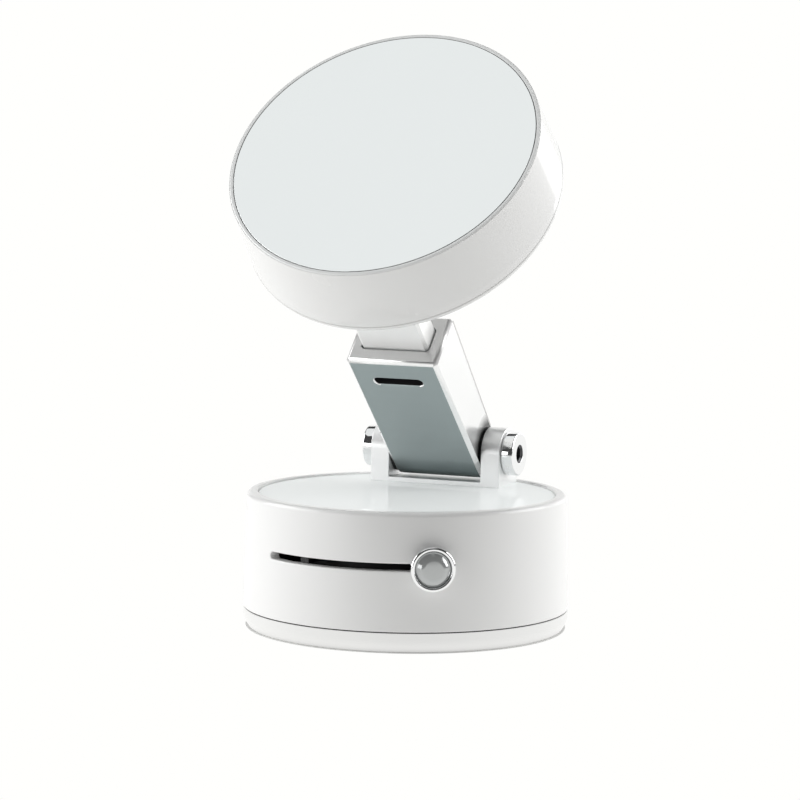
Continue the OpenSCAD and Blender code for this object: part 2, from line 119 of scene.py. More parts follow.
BUSH_HOLE_R = 3.32
WINDOW_W, WINDOW_H = 10.4, 1.9
WINDOW_S = SLEEVE_LEN - 6.4
MIRROR_R = width("mirror_glass") / 2
BEZEL_R = width("bezel_ring") / 2
HEAD_R = width("head_casing") / 2
HEAD_T = 16.1
HEAD_OFF = 20.76
STANDOFF = 6.3
COVER_R = 30.4
COVER_SCREW_AT, SCREW_HEAD_R, SCREW_HOLE_R = 24.5, 2.25, 1.3
LUG_PLATE_W, LUG_PLATE_H = 18, 9
LUG_R, LUG_HALF = 2.6, 2.9
FAR = 20  # how far a cutting rod reaches


def place(origin, z_axis):
    """The matrix of a local frame in metres whose Z points along z_axis."""
    z = Vector(z_axis).normalized()
    if abs(z.x) < 1e-4:
        x = Vector((1, 0, 0))
    elif abs(z.x) > 0.9:
        x = Vector((0, -1, 0)).cross(z)
    else:
        x = Vector((0, 0, 1)).cross(z).normalized()
    y = z.cross(x).normalized()
    m = Matrix((x, y, z)).transposed().to_4x4()
    m.translation = Vector(origin) * MM
    return m


BASE = Matrix.Identity(4)
ARM = place(PIVOT, ARM_AXIS)
HEAD = place(FACE, FACE_AXIS)
KNOB = place((0, 0, SLOT_Z), (math.sin(KNOB_AZ), -math.cos(KNOB_AZ), 0))
RIGHT_END = place(PIVOT, (1, 0, 0))
LEFT_END = place(PIVOT, (-1, 0, 0))


# ---- materials ----

WARM_WHITE = (1, 1, 0.985)


def colour(value):
    """The colour with full opacity."""
    return (*value, 1)


def surface(name, tint, rough, metallic=0.0, coat=0.0, shift=0.03, spread=0.04, grain=900,
            bump=0.02, stretch=(1, 1, 1), specular=0.5, glow=0.0):
    """A principled material whose colour and roughness vary a little, with a fine grain in relief."""
    mat = bpy.data.materials.new(name)
    mat.use_nodes = True
    nodes, links = mat.node_tree.nodes, mat.node_tree.links
    shader = nodes["Principled BSDF"]
    shader.inputs["Metallic"].default_value = metallic
    shader.inputs["Coat Weight"].default_value = coat
    shader.inputs["Coat Roughness"].default_value = 0.04
    shader.inputs["Specular IOR Level"].default_value = specular
    shader.inputs["Emission Color"].default_value = colour(WARM_WHITE)
    shader.inputs["Emission Strength"].default_value = glow
    place_in = nodes.new("ShaderNodeTexCoord")
    scale = nodes.new("ShaderNodeMapping")
    scale.inputs["Scale"].default_value = stretch
    links.new(place_in.outputs["Object"], scale.inputs["Vector"])
    cloud = nodes.new("ShaderNodeTexNoise")
    cloud.inputs["Scale"].default_value = 60
    cloud.inputs["Detail"].default_value = 3
    links.new(scale.outputs["Vector"], cloud.inputs["Vector"])
    tone = nodes.new("ShaderNodeValToRGB")
    tone.color_ramp.elements[0].position = 0.3
    tone.color_ramp.elements[1].position = 0.7
    tone.color_ramp.elements[0].color = colour([c * (1 - shift) for c in tint])
    tone.color_ramp.elements[1].color = colour(tint)
    links.new(cloud.outputs["Fac"], tone.inputs["Fac"])
    links.new(tone.outputs["Color"], shader.inputs["Base Color"])
    gloss = nodes.new("ShaderNodeMapRange")
    gloss.inputs["From Min"].default_value = 0.3
    gloss.inputs["From Max"].default_value = 0.7
    gloss.inputs["To Min"].default_value = rough
    gloss.inputs["To Max"].default_value = rough + spread
    links.new(cloud.outputs["Fac"], gloss.inputs["Value"])
    links.new(gloss.outputs["Result"], shader.inputs["Roughness"])
    fine = nodes.new("ShaderNodeTexNoise")
    fine.inputs["Scale"].default_value = grain
    fine.inputs["Detail"].default_value = 2
    links.new(scale.outputs["Vector"], fine.inputs["Vector"])
    relief = nodes.new("ShaderNodeBump")
    relief.inputs["Strength"].default_value = bump
    relief.inputs["Distance"].default_value = 0.0001
    links.new(fine.outputs["Fac"], relief.inputs["Height"])
    links.new(relief.outputs["Normal"], shader.inputs["Normal"])
    return mat


def paint_ear_reflection(mat, middle, near, far, share):
    """Paints a darker tone round an axis along X: a painted reflection of the yoke's ear on the polished side
    beside it.
    """
    nodes, links = mat.node_tree.nodes, mat.node_tree.links
    shader = nodes["Principled BSDF"]
    tone = shader.inputs["Base Color"].links[0].from_socket
    place_in = nodes.new("ShaderNodeTexCoord")
    across = nodes.new("ShaderNodeMapping")
    across.inputs["Location"].default_value = (0, -middle.y * MM, -middle.z * MM)
    across.inputs["Scale"].default_value = (0, 1, 1)
    links.new(place_in.outputs["Object"], across.inputs["Vector"])
    reach = nodes.new("ShaderNodeVectorMath")
    reach.operation = "LENGTH"
    links.new(across.outputs["Vector"], reach.inputs[0])
    fade = nodes.new("ShaderNodeMapRange")
    fade.inputs["From Min"].default_value = near * MM
    fade.inputs["From Max"].default_value = far * MM
    fade.inputs["To Min"].default_value = share
    fade.inputs["To Max"].default_value = 1.0
    links.new(reach.outputs["Value"], fade.inputs["Value"])
    dim = nodes.new("ShaderNodeVectorMath")
    dim.operation = "SCALE"
    links.new(tone, dim.inputs[0])
    links.new(fade.outputs["Result"], dim.inputs["Scale"])
    links.new(dim.outputs["Vector"], shader.inputs["Base Color"])


WHITE = surface("white_gloss", (0.86, 0.86, 0.855), 0.3, coat=0.35, shift=0.015)
# painted glow: the plate's self-glow lifts it where the head shades it
PLATE = surface("plate_gloss", (0.7, 0.73, 0.73), 0.3, coat=0.3, shift=0.01, spread=0.02, bump=0.005,
                specular=0.0, glow=0.27)
# painted glow: the gel's self-glow stands in for floor light passing through it
GEL = surface("pad_gel", (0.35, 0.35, 0.345), 0.5, shift=0.05, bump=0.06, specular=0.1, glow=0.5)
# painted shade: a darker, glossier copy of the white gloss for the head's casing, darkening its wall
CASING_SHADED = surface("casing_gloss_painted_shade", (0.79, 0.79, 0.785), 0.24, coat=1.0, shift=0.015, bump=0.01)
WHITE_METAL = surface("white_metal", (0.93, 0.935, 0.935), 0.33, metallic=0.55, coat=0.3, shift=0.015)
SILVER = surface("satin_aluminium", (0.366, 0.42, 0.424), 0.3, metallic=0.8, spread=0.06, grain=500,
                 bump=0.05, stretch=(1, 1, 9))
# painted light: a bright copy of the aluminium for the sleeve's sides, as lit by the key light
SLEEVE_SIDE_LIT = surface("sleeve_side_lit_painted", (0.93, 0.935, 0.935), 0.17, metallic=0.9, shift=0.015, grain=500,
                      bump=0.02)
# painted reflection: the sleeve's sides darkened near the pivot, where they mirror the ear
paint_ear_reflection(SLEEVE_SIDE_LIT, PIVOT, 6.0, 8.6, 0.1)
# painted shade: a mid-grey copy of the aluminium, with a brushed grain, for the sleeve's end in the head's shade
BRUSHED_END_SHADED = surface("brushed_end_painted_shade", (0.58, 0.58, 0.58), 0.34, metallic=0.75, shift=0.06, spread=0.08,
                  grain=700, bump=0.1, stretch=(7, 1, 1))
# bright-cut finish, brightened as a painted highlight on the chamfers and as painted glints at the window's ends
BRIGHT_CUT_HIGHLIGHT = surface("bright_cut_painted_highlight", (0.95, 0.955, 0.955), 0.2, metallic=0.8, shift=0.01, bump=0.01)
BAR_WHITE = surface("bar_metal", (0.93, 0.93, 0.925), 0.28, metallic=0.45, coat=0.2, shift=0.02)
# painted glow: the bezel's self-glow brightens its thin rim
BEZEL = surface("bezel_metal", (0.6, 0.61, 0.61), 0.42, metallic=0.2, spread=0.05, grain=700, bump=0.003,
                glow=0.22)
CHROME = surface("chrome", (0.9, 0.905, 0.91), 0.035, metallic=1.0, shift=0.01, spread=0.03, bump=0.004)
STEEL = surface("steel", (0.62, 0.63, 0.65), 0.26, metallic=1.0, spread=0.08, grain=1200, bump=0.04)
# painted shade: a near-black metal for the inside of the hex socket
SOCKET_SHADE = surface("socket_painted_shade", (0.07, 0.07, 0.075), 0.35, metallic=0.6, shift=0.1, spread=0.1, bump=0.03)
BRASS = surface("brass", (0.78, 0.58, 0.28), 0.22, metallic=1.0, spread=0.08, bump=0.03)
MIRROR = surface("mirror", (0.93, 0.95, 0.952), 0.02, metallic=1.0, shift=0.004, spread=0.01, bump=0.0)
LENS = surface("knob_lens", (0.5, 0.515, 0.515), 0.12, metallic=0.4, coat=1.0, shift=0.03, bump=0.004)
DARK = surface("dark_plastic", (0.022, 0.022, 0.024), 0.45, shift=0.2, spread=0.1, bump=0.08)
GREY = surface("grey_plastic", (0.6, 0.6, 0.59), 0.4, shift=0.05, bump=0.06)
FOAM = surface("foam", (0.05, 0.05, 0.055), 0.85, shift=0.25, grain=2500, bump=0.3)
MAGNET = surface("magnet_plating", (0.55, 0.56, 0.58), 0.2, metallic=1.0, spread=0.1, bump=0.03)

FINISH = {
    "white_gloss": WHITE, "plate_gloss": PLATE, "pad_gel": GEL, "white_metal": WHITE_METAL,
    "satin_aluminium": SILVER, "bar_metal": BAR_WHITE, "bezel_metal": BEZEL, "chrome": CHROME,
    "steel": STEEL, "brass": BRASS, "mirror": MIRROR, "knob_lens": LENS, "dark_plastic": DARK,
    "grey_plastic": GREY, "foam": FOAM, "magnet_plating": MAGNET}


def finish_cad_nodes():
    """Gives every CAD node the material of its slot."""
    for part in frame["record"]["subparts"]:
        mesh = NODES[part["node"]].data
        mesh.materials.clear()
        mesh.materials.append(FINISH[part["material_slot"]])


finish_cad_nodes()


# ---- mesh tools ----

def shade(obj, sharp=40):
    """Smooth shading, with edges sharper than the angle kept crisp and flats kept flat."""
    for poly in obj.data.polygons:
        poly.use_smooth = True
    obj.data.set_sharp_from_angle(angle=math.radians(sharp))
    even = obj.modifiers.new("even_normals", "WEIGHTED_NORMAL")
    even.keep_sharp = True
    even.weight = 90


def piece(name, mesh, matrix, body, slot, stands_for=()):
    """Makes the object in the row frame, gives it its slot's material unless it has one, ties it to its body, and
    hides the CAD nodes it stands for.
    """
    mesh.transform(Matrix.Scale(MM, 4))
    mesh.transform(matrix)
    obj = bpy.data.objects.new(name, mesh)
    bpy.context.scene.collection.objects.link(obj)
    if not mesh.materials:
        mesh.materials.append(FINISH[slot])
    shade(obj)
    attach(obj, body)
    if stands_for:
        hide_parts(*stands_for)
    return obj


def circle(radius, count, start=0.0, span=2 * math.pi, closed=True):
    """Points round a circle, or along an arc of it with both its ends."""
    last = count if closed else count + 1
    return [(radius * math.cos(start + span * k / count), radius * math.sin(start + span * k / count))
            for k in range(last)]


def bridge(bm, ring, following):
    """Faces between two rings of the same number of vertices. A ring may be one vertex repeated."""
    count = len(ring)
    for k in range(count):
        bridge_face(bm, ring, following, k)


def bridge_face(bm, ring, following, k):
    """One face between two rings, a triangle where one of them is a single vertex."""
    m = (k + 1) % len(ring)
    corners = []
    for v in (ring[k], ring[m], following[m], following[k]):
        if v not in corners:
            corners.append(v)
    bm.faces.new(corners)


def rounded(points, default=0.2, steps=5):
    """A closed outline with its corners rounded. A point may carry its own radius as a third number."""
    out = []
    count = len(points)
    for i, p in enumerate(points):
        here = Vector(p[:2])
        back = Vector(points[i - 1][:2]) - here
        ahead = Vector(points[(i + 1) % count][:2]) - here
        r = p[2] if len(p) > 2 else default
        if r <= 0 or here.x < 1e-6:
            out.append(here)
            continue
        half = back.angle(ahead) / 2
        cut = min(r / math.tan(half), back.length * 0.45, ahead.length * 0.45)
        r = cut * math.tan(half)
        start, end = here + back.normalized() * cut, here + ahead.normalized() * cut
        middle = here + (back.normalized() + ahead.normalized()).normalized() * (r / math.sin(half))
        a0 = math.atan2(start.y - middle.y, start.x - middle.x)
        turn = math.atan2(end.y - middle.y, end.x - middle.x) - a0
        turn = (turn + math.pi) % (2 * math.pi) - math.pi
        for k in range(steps + 1):
            a = a0 + turn * k / steps
            out.append(middle + r * Vector((math.cos(a), math.sin(a))))
    return out


def lathe_mesh(name, outline, steps=192):
    """A closed outline of radius and height, turned about Z. Points on the axis become one vertex."""
    bm = bmesh.new()
    rings = []
    for p in outline:
        if p[0] < 1e-6:
            rings.append([bm.verts.new((0, 0, p[1]))] * steps)
        else:
            rings.append([bm.verts.new((x, y, p[1])) for x, y in circle(p[0], steps)])
    for i, ring in enumerate(rings):
        following = rings[(i + 1) % len(rings)]
        if ring[0] is not ring[1] or following[0] is not following[1]:
            bridge(bm, ring, following)
    return done(bm, name)


def done(bm, name):
    """Turns the working mesh into a named mesh with its faces outwards."""
    bmesh.ops.recalc_face_normals(bm, faces=bm.faces)
    mesh = bpy.data.meshes.new(name)
    bm.to_mesh(mesh)
    bm.free()
    return mesh


def turned(name, points, matrix, body, slot, stands_for=(), default=0.2, steps=192):
    """A piece turned about its frame's Z, from an outline whose corners are rounded."""
    return piece(name, lathe_mesh(name, rounded(points, default), steps), matrix, body, slot, stands_for)


def extruded(outline, half, along="X"):
    """A mesh with this outline, extruded to both sides of the middle plane, across X or Z."""
    bm = bmesh.new()
    ends = []
    for side in (-half, half):
        if along == "X":
            ends.append([bm.verts.new((side, p[0], p[1])) for p in outline])
        else:
            ends.append([bm.verts.new((p[0], p[1], side)) for p in outline])
    bm.faces.new(ends[0])
    bm.faces.new(ends[1])
    count = len(outline)
    for k in range(count):
        m = (k + 1) % count
        bm.faces.new((ends[0][k], ends[0][m], ends[1][m], ends[1][k]))
    return done(bm, "extruded")


def cuboid(lowest, highest):
    """A box between two corners."""
    bm = bmesh.new()
    bmesh.ops.create_cube(bm, size=1)
    lowest, highest = Vector(lowest), Vector(highest)
    for v in bm.verts:
        v.co = Vector([lo + (hi - lo) * (c + 0.5) for lo, hi, c in zip(lowest, highest, v.co)])
    return done(bm, "cuboid")


def rod(radius, start, end, axis="X", sides=64):
    """A cylinder along X, Y or Z between two places on that axis."""
    mesh = extruded(circle(radius, sides), (end - start) / 2, "Z")
    mesh.transform(Matrix.Translation((0, 0, (start + end) / 2)))
    turn = {"X": Matrix.Rotation(math.pi / 2, 4, "Y"), "Y": Matrix.Rotation(-math.pi / 2, 4, "X"),
            "Z": Matrix.Identity(4)}[axis]
    mesh.transform(turn)
    return mesh


def moved(mesh, x=0, y=0, z=0):
    """The mesh after a shift."""
    mesh.transform(Matrix.Translation((x, y, z)))
    return mesh


def combine(mesh, others, how):
    """The mesh with the others joined to it or cut out of it."""
    body = bpy.data.objects.new("work", mesh)
    bpy.context.scene.collection.objects.link(body)
    tools = []
    for other in others:
        tool = bpy.data.objects.new("tool", other)
        bpy.context.scene.collection.objects.link(tool)
        step = body.modifiers.new("step", "BOOLEAN")
        step.operation = how
        step.solver = "EXACT"
        step.object = tool
        tools.append(tool)
    out = applied(body)
    for tool in tools:
        bpy.data.objects.remove(tool)
    return out


def applied(obj):
    """The object's mesh with its modifiers applied. The object itself is removed."""
    bpy.context.view_layer.update()
    out = bpy.data.meshes.new_from_object(obj.evaluated_get(bpy.context.evaluated_depsgraph_get()))
    bpy.data.objects.remove(obj)
    return out


def bevelled(mesh, size, segments=3, angle=35, material=-1):
    """The mesh with every edge sharper than the angle rounded, or chamfered with one segment."""
    work = bpy.data.objects.new("work", mesh)
    bpy.context.scene.collection.objects.link(work)
    soft = work.modifiers.new("soft", "BEVEL")
    soft.width = size
    soft.segments = segments
    soft.material = material
    soft.limit_method = "ANGLE"
    soft.angle_limit = math.radians(angle)
    soft.miter_outer = "MITER_ARC"
    return applied(work)


# ---- base ----

def base_pad():
    """The soft pad with a rounded foot, a grey ring round its sole as a painted contact shadow, and a dark ring in
    the seam as painted shade in the gap.
    """
    pad_top = PAD_H - 0.22
    turned("pad_body", [(0, 0), (BASE_R - 1.2, 0, 1.0), (BASE_R, 2.0, 2.5), (BASE_R - 0.03, pad_top, 0.15),
                        (24, pad_top, 0.3), (23, 1.8, 0.4), (0, 1.8)],
           BASE, "base", "pad_gel", ("suction_pad",), steps=256)
    # painted contact shadow: a grey ring round the sole's edge
    turned("pad_sole_painted_shadow", [(BASE_R - 2, 0.01), (BASE_R - 0.62, 0.01), (BASE_R - 0.5, 0.24), (BASE_R - 2, 0.24)],
           BASE, "base", "grey_plastic", default=0.02, steps=256)
    seam_top = SHELL_FOOT - 0.01
    # painted shade: a dark ring filling the seam between pad and shell
    turned("seam_painted_shade", [(31, SEAM_LOW), (BASE_R - 0.22, SEAM_LOW), (BASE_R - 0.22, seam_top), (31, seam_top)],
           BASE, "base", "dark_plastic", default=0.02, steps=256)


def shell_outline():
    """The shell's section, from the outer foot up over the rim, along the deck and down inside."""
    recess = PLATE_R + PLATE_GAP
    deck_low = DECK_TOP - DECK_T
    return rounded([(BASE_R, SHELL_FOOT, 0.15), (SHELL_TOP_R, SHELL_TOP, 1.0), (recess, SHELL_TOP, 0.35),
                    (recess, DECK_TOP, 0.1), (0, DECK_TOP), (0, deck_low), (SHELL_INNER_R, deck_low, 0.4),
                    (SHELL_INNER_R, SHELL_FOOT, 0.2)])


def wall_radius(z):
    """Radius of the shell's outer face at a height."""
    t = (z - PAD_H) / (SHELL_TOP - PAD_H)
    return BASE_R + (SHELL_TOP_R - BASE_R) * t


def on_wall(angle, z, radius):
    """A point at an angle from the front, towards the right."""
    return Vector((radius * math.sin(angle), -radius * math.cos(angle), z))


SLOT_END = 1.4  # angle from a slot's end to the middle of its round end
SLOT_LEFT, SLOT_RIGHT = math.radians(SLOT_END - 33), KNOB_AZ + math.radians(3.4 - SLOT_END)
PATCH_LEFT, PATCH_RIGHT = math.radians(-38), KNOB_AZ + math.radians(8)
MARGIN, STRAIGHT, ROWS = 5, 72, 6
PATCH_LOW, PATCH_HIGH = SLOT_Z - 2.2, SLOT_Z + 2.2


def spaced(a, b, count):
    """Evenly spaced values from a up to b, without b."""
    return [a + (b - a) * k / count for k in range(count)]


def columns():
    """Angles of the shell's columns: even, but lined up with the slot where it runs."""
    rest = spaced(PATCH_RIGHT, PATCH_LEFT + 2 * math.pi, 190)
    return (spaced(PATCH_LEFT, SLOT_LEFT, MARGIN) + spaced(SLOT_LEFT, SLOT_RIGHT, STRAIGHT)
            + spaced(SLOT_RIGHT, PATCH_RIGHT, MARGIN) + rest)


def slot_loop(grow, radius_at):
    """Points round the slot, grown by a margin, in step with the patch's rim."""
    half = SLOT_H / 2 + grow
    around_end = 2 * MARGIN + ROWS
    reach = half / BASE_R
    points = [(a, SLOT_Z + half) for a in spaced(SLOT_LEFT, SLOT_RIGHT, STRAIGHT)]
    for k in range(around_end):
        turn = math.pi / 2 - math.pi * k / around_end
        points.append((SLOT_RIGHT + reach * math.cos(turn), SLOT_Z + half * math.sin(turn)))
    points += [(a, SLOT_Z - half) for a in spaced(SLOT_RIGHT, SLOT_LEFT, STRAIGHT)]
    for k in range(around_end):
        turn = -math.pi / 2 - math.pi * k / around_end
        points.append((SLOT_LEFT + reach * math.cos(turn), SLOT_Z + half * math.sin(turn)))
    return [(a, z, radius_at(z)) for a, z in points]


def rim_loop(radius_at):
    """Points round the patch's rectangle, starting above the slot's left end."""
    top = spaced(SLOT_LEFT, SLOT_RIGHT, STRAIGHT) + spaced(SLOT_RIGHT, PATCH_RIGHT, MARGIN)
    points = [(a, PATCH_HIGH) for a in top]
    points += [(PATCH_RIGHT, z) for z in spaced(PATCH_HIGH, PATCH_LOW, ROWS)]
    bottom = (spaced(PATCH_RIGHT, SLOT_RIGHT, MARGIN) + spaced(SLOT_RIGHT, SLOT_LEFT, STRAIGHT)
              + spaced(SLOT_LEFT, PATCH_LEFT, MARGIN))
    points += [(a, PATCH_LOW) for a in bottom]
    points += [(PATCH_LEFT, z) for z in spaced(PATCH_LOW, PATCH_HIGH, ROWS)]
    points += [(a, PATCH_HIGH) for a in spaced(PATCH_LEFT, SLOT_LEFT, MARGIN)]
    return [(a, z, radius_at(z)) for a, z in points]


def base_shell():
    """The shell, turned on one outline, with the slot woven into its wall as a softened opening."""
    outline = [tuple(p) for p in shell_outline()]
    band = [PATCH_LOW + (PATCH_HIGH - PATCH_LOW) * k / ROWS for k in range(ROWS + 1)]
    first = max(i for i, p in enumerate(outline) if p[0] > 32 and p[1] < PATCH_LOW)
    outer_band = [(wall_radius(z), z) for z in band]
    last = max(i for i, p in enumerate(outline) if abs(p[0] - SHELL_INNER_R) < 0.01 and p[1] > PATCH_HIGH)
    inner_band = [(SHELL_INNER_R, z) for z in reversed(band)]
    outline = outline[:first + 1] + outer_band + outline[first + 1:last + 1] + inner_band + outline[last + 1:]
    angles = columns()
    bm = bmesh.new()
    rings = []
    for r, z in outline:
        if r < 1e-6:
            rings.append([bm.verts.new((0, 0, z))] * len(angles))
        else:
            rings.append([bm.verts.new(on_wall(a, z, r)) for a in angles])
    patch_cols = 2 * MARGIN + STRAIGHT
    outer_rows = range(first + 1, first + 1 + ROWS)
    inner_start = last + 1 + ROWS + 1
    inner_rows = range(inner_start, inner_start + ROWS)
    for i, ring in enumerate(rings):
        following = rings[(i + 1) % len(rings)]
        if ring[0] is ring[1] and following[0] is following[1]:
            continue
        for k in range(len(angles)):
            if k >= patch_cols or (i not in outer_rows and i not in inner_rows):
                bridge_face(bm, ring, following, k)
    weave_slot(bm)
    bmesh.ops.remove_doubles(bm, verts=bm.verts, dist=1e-4)
    loose = [v for v in bm.verts if not v.link_faces]
    bmesh.ops.delete(bm, geom=loose, context="VERTS")
    mesh = done(bm, "shell_body")
    piece("shell_body", mesh, BASE, "base", "white_gloss", ("base_shell",))


def weave_slot(bm):
    """Rings of faces from the outer wall's patch, over the slot's soft edge, to the inner wall's patch."""
    rim, edge = rim_loop(wall_radius), slot_loop(SLOT_SOFT, wall_radius)
    loops = [rim]
    for share in (0.3, 0.6, 0.85):
        loops.append([tuple(a + (b - a) * share for a, b in zip(p, q)) for p, q in zip(rim, edge)])
    loops.append(edge)
    for k in range(1, 5):
        turn = math.pi / 2 * k / 4
        sink = SLOT_SOFT * (1 - math.cos(turn))
        grow = SLOT_SOFT * (1 - math.sin(turn))
        loops.append([(a, z, r - sink) for a, z, r in slot_loop(grow, wall_radius)])
    loops.append(slot_loop(0, lambda z: SHELL_INNER_R))
    loops.append(rim_loop(lambda z: SHELL_INNER_R))
    rings = [[bm.verts.new(on_wall(*p)) for p in loop] for loop in loops]
    for ring, following in zip(rings, rings[1:]):
        bridge(bm, ring, following)


def top_plate():
    """The glossy plate let into the shell."""
    turned("plate_disc", [(0, DECK_TOP + 0.02), (PLATE_R, DECK_TOP + 0.02, 0.1), (PLATE_R, PLATE_TOP, 0.3),
                          (0, PLATE_TOP)], BASE, "base", "plate_gloss", ("top_plate",), steps=256)


def return_spring():
    """The plunger's spring, wound from round wire with closed ends. The real one shortens as the plunger lifts;
    this mesh keeps one length and is tied to the plunger's body.
    """
    wire, turns = 0.43, 5
    steps, sides = 48 * turns, 12
    radius = width("return_spring") / 2 - wire
    bottom = low("return_spring").z + wire
    top = high("return_spring").z - wire
    bm = bmesh.new()
    rings = []
    for i in range(steps + 1):
        t = turns * i / steps
        climb = min(1, max(0, (t - 1) / (turns - 2)))
        z = bottom + (top - bottom - 4 * wire) * climb + 2 * wire * (min(t, 1) + max(0, t - turns + 1))
        across, up = math.cos(2 * math.pi * t), math.sin(2 * math.pi * t)
        rings.append([bm.verts.new(((radius + x) * across, (radius + x) * up, z + y))
                      for x, y in circle(wire, sides)])
    for ring, following in zip(rings, rings[1:]):
        bridge(bm, ring, following)
    bm.faces.new(rings[0])
    bm.faces.new(rings[-1])
    coil = piece("spring_coil", done(bm, "spring_coil"), BASE, "plunger", "steel", ("return_spring",))
    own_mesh(coil)


# ---- yoke and pivot ----

def ear_outline():
    """An ear's outline round the pivot."""
    foot = PLATE_TOP - PIVOT.z
    arch = circle(EAR_R, 48, span=math.pi, closed=False)
    return arch + [(-EAR_R, foot), (EAR_R, foot)]


def yoke():
    """A web with two round-topped ears, as one casting with softened edges."""
    foot = PLATE_TOP - PIVOT.z
    half = (EAR_OUT - EAR_IN) / 2
    ears = [moved(extruded(ear_outline(), half), x=s * (EAR_OUT + EAR_IN) / 2) for s in (-1, 1)]
    web = cuboid((-EAR_OUT + 1, -EAR_R, foot), (EAR_OUT - 1, EAR_R, foot + 1))
    mesh = combine(web, ears, "UNION")
    mesh = combine(mesh, [rod(BOLT_R + 0.02, -FAR, FAR)], "DIFFERENCE")
    mesh = bevelled(mesh, 0.3, 4)
    mesh.transform(Matrix.Translation(PIVOT))
    piece("yoke_casting", mesh, BASE, "base", "white_metal", ("yoke",))


def hex_ring(bm, flat, height, count):
    """Points round a hexagon, as many as a circle has."""
    ring = []
    corner = flat / math.cos(math.pi / 6)
    for k in range(count):
        angle = 2 * math.pi * k / count
        within = (angle % (math.pi / 3)) - math.pi / 6
        r = corner * math.cos(math.pi / 6) / math.cos(within)
        ring.append(bm.verts.new((r * math.cos(angle), r * math.sin(angle), height)))
    return ring


def socket_cap(name, matrix, start, face, radius, socket, stands_for):
    """A chrome cap with a rolled edge and a shallow dish, and a hex socket where one is wanted, its inside dark as
    painted shade.
    """
    bm = bmesh.new()
    count = 144
    edge = rounded([(2.0, start, 0), (radius, start, 0.25), (radius, face, 0.35), (1.95, face, 0.1),
                    (1.7, face - 0.25, 0)], steps=7)
    rings = [[bm.verts.new((x, y, p[1])) for x, y in circle(p[0], count)] for p in edge]
    if socket:
        rings.append(hex_ring(bm, SOCKET_HALF, face - 0.4, count))
        rings.append(hex_ring(bm, SOCKET_HALF, face - 1.9, count))
    else:
        rings.append([bm.verts.new((x, y, face - 0.3)) for x, y in circle(0.8, count)])
    for ring, following in zip(rings, rings[1:]):
        bridge(bm, ring, following)
    bm.faces.new(rings[-1])
    bm.faces.new(list(reversed(rings[0])))
    mesh = done(bm, name)
    mesh.materials.append(CHROME)
    mesh.materials.append(SOCKET_SHADE)
    # painted shade: the socket's inside faces take the dark material
    for poly in mesh.polygons:
        if socket and poly.center.xy.length < 1.9 and start + 0.2 < poly.center.z < face - 0.05:
            poly.material_index = 1
    piece(name, mesh, matrix, "base", "chrome", stands_for)


def pivot():
    """The bolt's shank, its socket head on the right, the cap nut on the left and the shims in the gaps."""
    right = high("pivot_bolt").x
    left = -low("pivot_nut").x
    socket_cap("bolt_head", RIGHT_END, EAR_OUT + 0.05, right, CAP_R, True, ())
    socket_cap("nut_cap", LEFT_END, EAR_OUT + 0.05, left, NUT_R, False, ("pivot_nut",))
    shims = combine(rod(SHIM_R, EAR_IN - 0.33, EAR_IN - 0.02), [rod(SHIM_R, 0.02 - EAR_IN, 0.33 - EAR_IN)], "UNION")
    shims = combine(shims, [rod(BOLT_R + 0.1, -FAR, FAR)], "DIFFERENCE")
    shims.transform(Matrix.Translation(PIVOT))
    piece("pivot_shims", shims, BASE, "base", "dark_plastic", ("friction_washers",))
    shank = bevelled(rod(BOLT_R, -EAR_OUT, EAR_OUT + 0.04), 0.2)
    shank.transform(Matrix.Translation(PIVOT))
    piece("bolt_shank", shank, BASE, "base", "steel", ("pivot_bolt",))


# ---- arm ----

